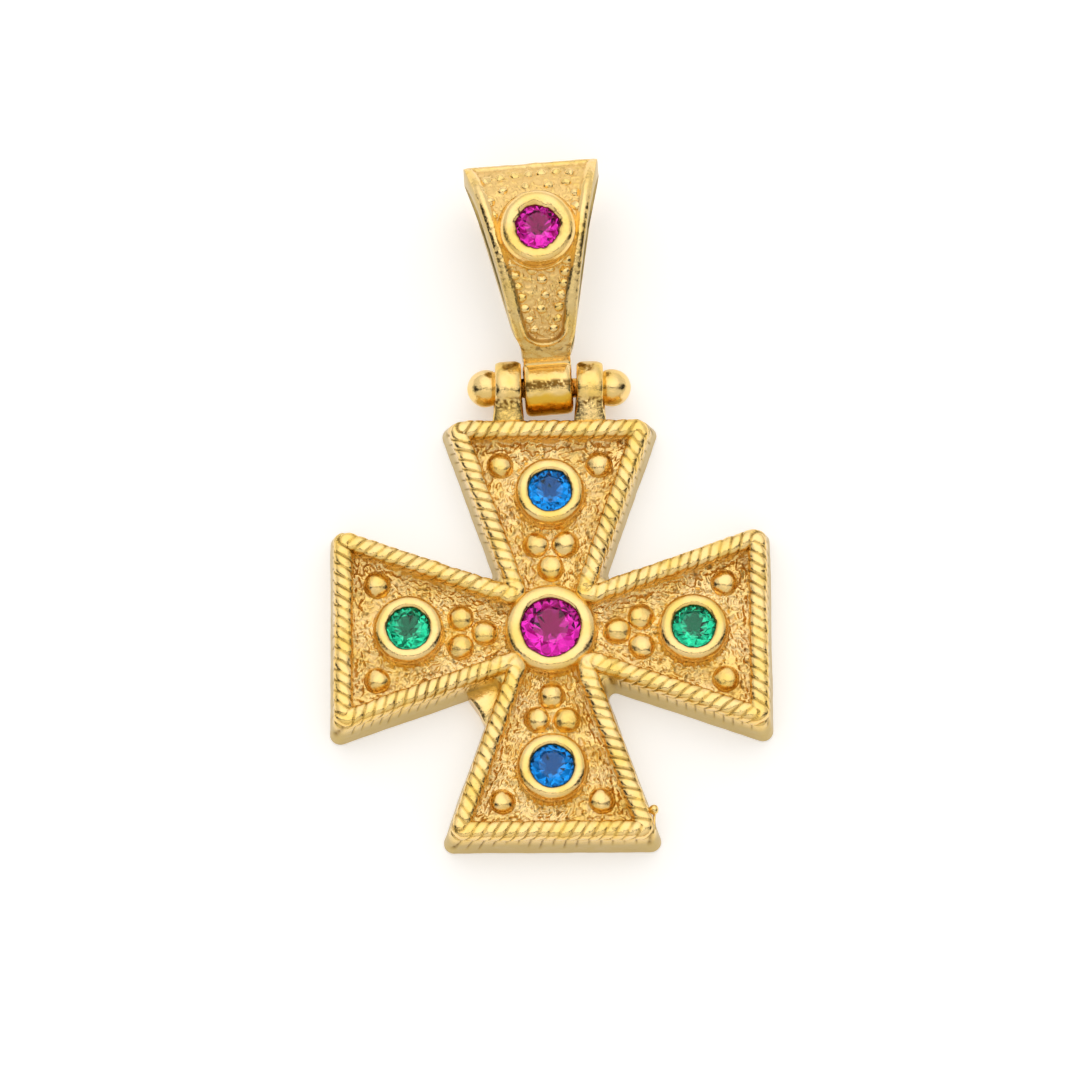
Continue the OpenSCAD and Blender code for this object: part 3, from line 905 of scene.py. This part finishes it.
def rope_tree():
    """A rope along a closed line of points: a tube with the lobes of its strands wound round it."""
    g, given = node_group("twisted_rope", Finish="Material")
    line = g.add("GeometryNodeMeshToCurve", {0: given["Geometry"]})
    line = g.add("GeometryNodeSetCurveNormal", {0: line}, mode="Z_UP")
    circle = g.add("GeometryNodeCurvePrimitiveCircle", {"Resolution": ROPE_SIDES, "Radius": ROPE_R * MM})
    circle = g.store(circle, "round", g.add("GeometryNodeSplineParameter", out="Factor"))
    here = g.add("GeometryNodeInputPosition")
    x, y = g.split(here)[:2]
    bulk = (abs(x) ** ROPE_SQUARENESS + abs(y) ** ROPE_SQUARENESS) ** (1 / ROPE_SQUARENESS)
    section = g.scaled(here, g.math("DIVIDE", ROPE_R * MM, bulk))
    circle = g.add("GeometryNodeSetPosition", {0: circle, "Position": section})
    tube = g.add("GeometryNodeCurveToMesh", {0: line, 1: circle})
    turns = g.named("turns") + g.named("round") * ROPE_STRANDS
    across = abs(g.math("FRACT", turns) * 2 - 1)
    lobe = (1 - across ** 12) ** 0.6 - across * across * 0.15
    worn = g.named("worn")
    depth = g.ramp(g.noise(here, 0.5, 1), 0.3, 0.6, 0.6, 1.2) * (1 - worn)
    melted = (g.noise(here, 0.6) - 0.5) * (ROPE_UNEVENNESS * MM) * (worn * 1.6 + 1)
    shaped = g.pushed(tube, (lobe - 1) * (ROPE_GROOVE * MM) * depth + melted)
    rope = g.add("GeometryNodeTriangulate", {0: shaped}, quad_method="FIXED")
    # Painted shade in the grooves between the strands
    rope = g.store(rope, "crease", g.ramp(across, 0.84, 0.99) * depth)
    # Painted reflection of the neighbouring strands, deeper towards the grooves
    rope = g.store(rope, "amber", g.ramp(across, 0.4, 0.95, 0, 0.5))
    return close_group(g, rope, given["Finish"])


def granule_tree():
    """Granules on points: slightly uneven beads, each with the radius that its point names."""
    g, given = node_group(
        "granules", Segments="Int", Rings="Int", Unevenness="Float", Grain="Float", Seed="Int",
        Finish="Material",
    )
    bead = g.add("GeometryNodeMeshUVSphere", {
        "Segments": given["Segments"], "Rings": given["Rings"], "Radius": 1.0,
    })
    bead = g.add("GeometryNodeTransform", {0: bead, "Scale": GRANULE_FLATNESS})
    turn = g.add(
        "FunctionNodeRandomValue", {0: (0, 0, 0), 1: (0.25, 0.25, 6.28), "Seed": given["Seed"]},
        data_type="FLOAT_VECTOR",
    )
    beads = g.add("GeometryNodeInstanceOnPoints", {
        0: given["Geometry"], "Instance": bead, "Rotation": turn, "Scale": g.named("size"),
    })
    beads = g.add("GeometryNodeRealizeInstances", {0: beads})
    cloud = g.add("ShaderNodeTexNoise", {
        "Vector": g.add("GeometryNodeInputPosition"), "Scale": given["Grain"], "Detail": 1.0,
    })
    return close_group(g, g.pushed(beads, (cloud - 0.5) * given["Unevenness"]), given["Finish"])


def rope_border(finish):
    """The rope round the whole cross."""
    line, along = rope_line()
    length = along[-1]
    count = round(length / ROPE_PITCH) * RINGS_A_STRAND
    at = np.arange(count) * length / count
    closed = np.concatenate([line, line[:1]])
    points = points_of(*(np.interp(at, along, side) for side in closed.T), ROPE_Z)
    middle = np.hypot(points[:, 0], points[:, 1])
    shares = {
        "turns": rope_turns(at, length) + 0.1 * grain(points, 3.0, 41),
        "worn": 0.6 * (1 - step(2.6, 4.6, middle)) + 0.25 * step(0.1, 0.6, grain(points, 1.9, 42)),
    }
    edges = [(i, (i + 1) % count) for i in range(count)]
    return grown("rope_border", rope_tree(), points, edges, shares, Finish=finish)


def cross_granules(tree, finish):
    """The large granules of the four arms."""
    spots = np.concatenate([turned(ARM_GRANULES, k) for k in range(ARMS)])
    points = points_of(*spots.T, GROUND_Z + GRANULE_LIFT)
    size = GRANULE_R * (1 + 0.06 * grain(points, 1.7, 51))
    return grown(
        "cross_granules", tree, points, [], {"size": size * MM}, Segments=40, Rings=24,
        Unevenness=0.09 * MM, Grain=1 / (0.55 * MM), Seed=3, Finish=finish,
    )


def bail_granules(tree, finish):
    """The small granules of the bail's field."""
    points = [(across, *front_point(arc, FIELD_DEPTH + 0.06)[:2]) for across, arc in SEEDS]
    points = placed((np.array(points), []), bail_frame())[0]
    size = SEED_R * (1 + 0.2 * grain(points, 0.9, 81))
    return grown(
        "bail_granules", tree, points, [], {"size": size * MM}, Segments=24, Rings=14,
        Unevenness=0.12 * MM, Grain=1 / (0.25 * MM), Seed=5, Finish=finish,
    )


# The bail, in its own frame

def bail_frame():
    """From the bail's own frame to the pendant's."""
    return move(0, HINGE_Y, 0) @ turn_z(BAIL_LEAN)


def side_point(a, radius, d):
    """Side view point at angle a and depth d of the bend or of the flatter front."""
    return BEND_Y + (radius - d) * np.cos(a), BAIL_DEPTH - radius + (radius - d) * np.sin(a)


def front_point(arc, d):
    """Side view point and slope of the strip's front at an arc length and a depth."""
    radius = BEND_R if arc > 0 else FRONT_R
    a = pi / 2 - arc / radius
    return *side_point(a, radius, d), a


def on_bail(up):
    """The frame of something at a height over the strip's front, where the setting stands."""
    y, z, a = front_point(BAIL_SETTING_ARC, -up)
    return move(0, y, z) @ Matrix.Rotation(a - pi / 2, 4, "X")


def strip_path(d):
    """The side view of the strip at the depth d, from the neck up the front, round and down the back.

    Gives y, z, the outward direction, and the arc length from the bend's front edge, upwards.
    """
    front = np.linspace(acos((FRONT_END_Y - BEND_Y) / FRONT_R), pi / 2, 170)
    bend = np.concatenate([
        np.linspace(pi / 2, FIELD_TOP - 0.25, 58)[1:], np.linspace(FIELD_TOP - 0.3, -pi / 2, 30)
    ])
    back = np.linspace(BEND_Y, BACK_END_Y, 30)[1:]
    stretches = [
        points_of(*side_point(a, radius, d), np.cos(a), np.sin(a), (pi / 2 - a) * radius)
        for a, radius in ((front, FRONT_R), (bend, BEND_R))
    ]
    stretches.append(points_of(back, d, 0, -1, pi * BEND_R + BEND_Y - back))
    return np.concatenate(stretches).T


def strip_half_width(y):
    wide = NECK_HALF_W + BAIL_SLOPE * (y - NECK_Y)
    waist = KNUCKLE_HALF_W + (NECK_HALF_W - KNUCKLE_HALF_W) * step(1.2, NECK_Y + 0.1, y)
    return np.where(y < NECK_Y + 0.1, np.minimum(waist, wide), wide)


def strip_edges(y, arc):
    """Left and right edges of the strip's inner side, then of its outer side, which is narrower."""
    narrower = BACK_HIGHER * step(2.2, 7.0, arc)
    shift = STRIP_SHIFT * step(NECK_Y - 0.5, NECK_Y + 1.2, y)
    taper = step(-6.0, -2.0, arc) * (1 - step(-2.5, 4.5, arc))
    left = shift - strip_half_width(y - narrower)
    right = shift + strip_half_width(y - BACK_HIGHER_RIGHT * narrower)
    return left, right, left + LEFT_TAPER * taper, right - RIGHT_TAPER * taper


def inside_field(t, left, right, arc):
    """How far each point of a row lies inside the sunk field, whose foot has round corners."""
    field_half = (right - left) / 2 - RIM_W - 0.1 * step(-2.0, -5.0, arc)
    beside = np.abs(t - (left + right) / 2) - field_half + FIELD_FOOT_R
    below = FIELD_FOOT_ARC + FIELD_FOOT_R - arc
    corner = np.hypot(np.maximum(beside, 0), np.maximum(below, 0))
    return FIELD_FOOT_R - corner - np.minimum(np.maximum(beside, below), 0)


def strip_front(points, arc, left, right):
    """How far each point of a row of the strip's front stands out, and the row's shares."""
    t = points[:, 0]
    edge = np.minimum(t - left, right - t)
    inside = inside_field(t, left, right, arc) + 0.03 * grain(points, 0.5, 63)
    field = step(-0.05, 0.05, inside) * (1 - step(FIELD_TOP_ARC - 0.05, FIELD_TOP_ARC + 0.05, arc))
    relief = wrinkles(points_of(t, arc, 7.0), 71)
    lip = np.exp(-((inside + 0.12) / 0.08) ** 2) * step(-4.8, -5.8, arc)
    # Pits in the rims, which get painted shade
    pits = step(0.3, 0.48, grain(points, 0.13, 65)) * step(0.0, 0.3, grain(points, 0.7, 66)) * (1 - field)
    crown = -RIM_CROWN * (1 - 0.7 * step(1.5, 3.0, arc)) * (1 - np.clip(edge / RIM_CROWN_W, 0, 1)) ** 2
    crown -= 0.08 * step(-0.2, -0.02, inside) * step(-6.1, -5.0, arc) * (arc < FIELD_TOP_ARC + 0.1)
    crown += LIP_H * lip - 0.02 * pits
    worn = 0.03 * grain(points, 0.8, 61) + 0.016 * grain(points, 0.22, 62)
    out = (crown + worn) * (1 - field) + (FIELD_RELIEF * relief - FIELD_DEPTH - 0.02) * field
    well = np.hypot(t, arc - BAIL_SETTING_ARC)
    out -= 0.3 * (1 - step(BAIL_SETTING_R - 0.6, BAIL_SETTING_R - 0.35, well))
    # Painted shade along the edge where the field sinks below the rims
    seam = np.exp(-((inside + 0.01) / 0.05) ** 2) * (0.1 + 0.9 * step(-2.5, -3.6, arc))
    seam *= arc < FIELD_TOP_ARC - 0.1
    foot_dirt = step(0.1, 0.4, grain(points, 0.16, 67))
    foot_dirt = foot_dirt * step(-6.75, -6.85, arc) * step(-7.15, -7.0, arc)
    olive = 0.35 * step(-1.0, -4.5, arc) * (1 - field) * (1 - lip)
    valley = field * (1 - step(0.3, 0.8, relief))
    # Shares: painted shade with more roughness on the rims' outer edges, and rims darker and rougher towards
    # the bottom; painted shade in the pits and along the seam, and dirt near the foot; a deeper, warmer
    # colour in the field
    return out, {
        "matt": np.clip(0.8 * valley + 0.3 * field, 0, 1),
        "dull": np.maximum(0.7 * (edge < 0.01), olive),
        "crease": np.clip(0.25 * pits + 0.7 * seam * (1 - 0.6 * field) + 0.7 * foot_dirt, 0, 1),
        "amber": 0.3 * field,
    }


def strip():
    """The looped strip with its shares: convex rims, a sunk field, and a plain inside and sides in painted
    shade.
    """
    y, z, out_y, out_z, arc = strip_path(0)
    inner_y, inner_z = strip_path(BAIL_WALL)[:2]
    inner_left, inner_right, face_left, face_right = strip_edges(y, arc)
    centre_share = np.linspace(0, 1, 92)[1:-1]
    inner_share = np.linspace(0, 1, INNER_POINTS)
    side_share = np.linspace(0, 1, SIDE_POINTS + 2)[1:-1, None]
    # The sides and inside take painted shade
    hidden = {"matt": 0, "dull": 0.9, "crease": 0, "amber": 0}
    rings, rows = [], {key: [] for key in hidden}
    for i, (left, right) in enumerate(zip(face_left, face_right)):
        low, high = left + RIM_STEPS[-1], right - RIM_STEPS[-1]
        t = np.concatenate([left + RIM_STEPS, low + (high - low) * centre_share, (right - RIM_STEPS)[::-1]])
        face = points_of(t, y[i], z[i])
        out, shares = strip_front(face, arc[i], left, right)
        face[:, 1] += out_y[i] * out
        face[:, 2] += out_z[i] * out
        inner_t = inner_right[i] + (inner_left[i] - inner_right[i]) * inner_share
        inner = points_of(inner_t, inner_y[i], inner_z[i])
        right_side = face[-1] + (inner[0] - face[-1]) * side_share
        left_side = inner[-1] + (face[0] - inner[-1]) * side_share
        bulge = 0.04 * np.sin(side_share[:, 0] * pi) * (1 - step(1.5, 3.0, arc[i]))
        bulge += 0.02 * grain(right_side, 0.7, 64)
        right_side[:, 0] += bulge
        left_side[:, 0] -= bulge
        rings.append(np.concatenate([face, right_side, inner, left_side]))
        for key, values in shares.items():
            rows[key] += [values, np.full(INNER_POINTS + 2 * SIDE_POINTS, hidden[key])]
    return loft(rings, flip=True), {key: np.concatenate(a + [np.zeros(2)]) for key, a in rows.items()}


def neck():
    """The solid neck between the knuckle and the loop."""
    side_view = np.array([
        (0.2, 0.08), (0.9, 0.04), (1.75, 0.05), (1.8, 0.5), (1.76, 1.2), (1.85, 1.9),
        (1.75, 2.5), (1.35, 2.56), (1.12, 2.36), (0.96, 2.1), (0.7, 2.1), (0.3, 2.1),
    ])
    for _ in range(3):
        after = np.roll(side_view, -1, 0)
        cut = [0.75 * side_view + 0.25 * after, 0.25 * side_view + 0.75 * after]
        side_view = np.stack(cut, 1).reshape(-1, 2)
    w = KNUCKLE_HALF_W - 0.02
    end = [(w, 0.12), (w - 0.05, 0.03), (w - 0.15, 0)]
    rings = []
    for x, inset in [(-x, inset) for x, inset in end] + end[::-1]:
        rings.append(points_of(x, *(side_view + (side_view.mean(0) - side_view) * inset).T))
    return loft(rings)


def knuckle():
    """The barrel round the pin with its shares."""
    w, r = KNUCKLE_HALF_W, KNUCKLE_R
    end = [(BORE_R, w - 0.05), (BORE_R + 0.05, w), (r - 0.26, w), (r - 0.12, w - 0.04), (r - 0.04, w - 0.12)]
    barrel = [(r, x) for x in np.linspace(-w + 0.26, w - 0.26, 30)]
    bore = [(BORE_R, x) for x in np.linspace(w - 0.3, -w + 0.3, 3)]
    part = lathe([(p, -x) for p, x in end] + barrel + end[::-1] + bore, 144, closed=True)
    part = placed(part, move(KNUCKLE_SHIFT, 0, HINGE_Z) @ Z_TO_X)
    part, dirt = pitted(part, (-0.2, HINGE_Z + KNUCKLE_R), 0.3, 0.09, 0.07, 165, 0.35)
    # Painted reflection of the arm on the knuckle's side that faces the cross
    amber = step(-0.55, -0.75, part[0][:, 1] + 0.1 * grain(part[0], 0.3, 166))
    return part, {"crease": dirt, "amber": amber}


# Making the pieces

gold = cast_gold()
magenta = crystal("magenta_crystal", (0.97, 0.75, 0.9, 1), (0.2, 0.003, 0.07, 1), (0.95, 0.05, 0.66, 1))
blue = crystal("blue_crystal", (0.6, 0.92, 1.0, 1), (0.003, 0.06, 0.2, 1), (0.02, 0.34, 0.92, 1))
green = crystal("green_crystal", (0.6, 1.0, 0.92, 1), (0.004, 0.1, 0.05, 1), (0.05, 0.74, 0.42, 1))
granules = granule_tree()

settings = []
seeds = {"top_stone": 90, "left_stone": 97, "bottom_stone": 104, "right_stone": 111, "centre_stone": 130}
for node, seed in seeds.items():
    x, y, _, radius = stone_box(node)
    foot_r = CENTRE_SETTING_R if node == "centre_stone" else ARM_SETTING_R
    settings.append(placed(setting(foot_r, radius, SETTING_H, seed), move(x, y, GROUND_Z)))

for part in (
    solid("cross_plate", *fused(plate(), ear(-1), ear(1), (web(), {}), (burr(), {})), gold),
    solid("cross_ground", *ground(), gold),
    rope_border(gold),
    cross_granules(granules, gold),
    solid("stone_settings", joined(*settings), {}, gold),
):
    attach(part, "cross")
    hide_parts("cross_body")

hinge_pin = solid("ball_ended_pin", pin(), {}, gold)
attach(hinge_pin, "cross")
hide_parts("hinge_pin")

small_radius = stone_box("top_stone")[3]
bail_ring = placed(
    setting(BAIL_SETTING_R, small_radius, BAIL_SETTING_UP + FIELD_DEPTH, 150, 0.5, 0.07, 0.46),
    on_bail(-FIELD_DEPTH),
)
root, root_shares = fused((neck(), {}), knuckle())
loop, loop_shares = fused(strip(), (bail_ring, {}), (uneven(root, 0.4, 0.012, 160, 2), root_shares))
for part in (
    solid("bail_loop", placed(loop, bail_frame()), loop_shares, gold),
    bail_granules(granules, gold),
):
    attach(part, "bail")
    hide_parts("bail")


def set_stone(node, radius, place, finishes, body, seed):
    """A cut stone with its girdle's foot on z = 0 of a place.

    The facets that show the dark slit over the camera, in a spot above the middle, stay dim.
    """
    (points, faces), crown_faces = brilliant(radius)
    stone = solid("cut_" + node, placed((points, faces), place), {}, finishes[0], flat=True)
    stone.data.materials.append(finishes[1])
    for face in stone.data.polygons[crown_faces:]:
        face.material_index = 1
    axes = np.array(place)[:3, :3].T
    middles = np.array([points[list(face)].mean(0) for face in faces]) @ axes / points[:, 0].max()
    away = np.hypot(middles[:, 0], middles[:, 1] - SHADOW_UP)
    # Painted glints: facets lit at random, dimmed in the spot where the dark slit's reflection is painted
    lit = SHADOW_SPARK + (1 - SHADOW_SPARK) * step(SHADOW_R - 0.1, SHADOW_R + 0.05, away)
    chance = np.random.default_rng(seed)
    spark = chance.random(len(away)) * lit
    lean = points_of(*chance.normal(0, FACET_LEAN, (len(away), 2)).T, 1)
    keep(stone.data, "spark", spark, "FACE")
    keep(stone.data, "table", TABLE_SHINE * (np.arange(len(away)) == 0), "FACE")
    keep(stone.data, "lean", lean / np.linalg.norm(lean, axis=1, keepdims=True) @ axes, "FACE")
    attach(stone, body)
    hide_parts(node)


for node, finish, slot, turn, seed in (
    ("centre_stone", magenta, "magenta_stone", 11, 3),
    ("top_stone", blue, "blue_stone", 4, 4),
    ("bottom_stone", blue, "blue_stone", 31, 5),
    ("left_stone", green, "green_stone", 17, 6),
    ("right_stone", green, "green_stone", 38, 7),
):
    x, y, z, radius = stone_box(node)
    place = move(x, y, z + PAVILION_SHARE * radius) @ turn_z(radians(turn))
    set_stone(node, radius, place, finish, "cross", seed)
place = bail_frame() @ on_bail(BAIL_SETTING_UP - GIRDLE_BELOW_RIM)
set_stone("bail_stone", small_radius, place, magenta, "bail", 11)


# Floor, light and camera

def floor():
    a = FLOOR_HALF / MM
    mesh = new_mesh("floor", [(-a, -a, 0), (a, -a, 0), (a, a, 0), (-a, a, 0)], [], [(0, 1, 2, 3)], {})
    material, g = material_graph("white_floor")
    shade(g, {
        "Base Color": (0.88, 0.876, 0.87, 1),
        "Roughness": 0.7,
        "Specular IOR Level": 0.2,
        "Emission Color": (1.0, 0.99, 0.985, 1),
        "Emission Strength": 0.35,
    })
    mesh.materials.append(material)
    linked("floor", mesh)


def studio_light():
    """A white light tent with a slit that the camera looks through, open and dark at both its ends."""
    world = bpy.data.worlds.new("light_tent")
    bpy.context.scene.world = world
    world.use_nodes = True
    world.node_tree.nodes.clear()
    g = Graph(world.node_tree)
    x, y, z = g.split(g.add("ShaderNodeTexCoord", out="Generated"))
    height = g.math("MAXIMUM", z, 0.06)
    aside = g.math("MINIMUM", abs(x) / height, 3.0)
    slit = g.ramp(abs(y / height + tan(TILT)) - aside * aside * 0.12, 0.03, 0.09, 0.03, 1.0)
    away = x * x * 1.5 + (y - 0.2) * (y - 0.2)
    horizon = g.ramp(z, -0.05, 0.15, g.ramp(y, -0.2, 0.3, 0.4, 0.85), 1.0)
    sky = g.ramp(away, 0.03, 0.85, 1.36, 0.78) * horizon
    low_front = g.ramp(y, -0.75, -0.45, 1.0, 0.0) * g.ramp(z, 0.15, 0.4, 1.0, 0.0)
    tint = g.colour(low_front, (1.0, 0.98, 0.95, 1), (0.85, 0.66, 0.38, 1))
    background = g.add("ShaderNodeBackground", {"Color": tint, "Strength": sky * slit})
    g.add("ShaderNodeOutputWorld", {"Surface": background})


def camera():
    """Looks down at the lying pendant at the photograph's angle and framing."""
    data = bpy.data.cameras.new("camera")
    data.sensor_width = SENSOR
    data.lens = SENSOR * CAMERA_AWAY / (PHOTO_PX / PX_PER_MM)
    data.clip_start = 0.01
    scale = MM / PX_PER_MM
    x, y = (PHOTO_PX / 2 - CROSS_AT_PX[0]) * scale, (CROSS_AT_PX[1] - PHOTO_PX / 2) * scale
    tilted = Matrix.Rotation(TILT, 4, "X") @ turn_z(-ROLL)
    obj = linked("camera", data)
    obj.matrix_world = move(0, 0, CROSS_TOP_Z * MM) @ tilted @ move(x, y, CAMERA_AWAY * MM)
    bpy.context.scene.camera = obj


floor()
studio_light()
camera()
bpy.context.scene.view_settings.view_transform = "Standard"
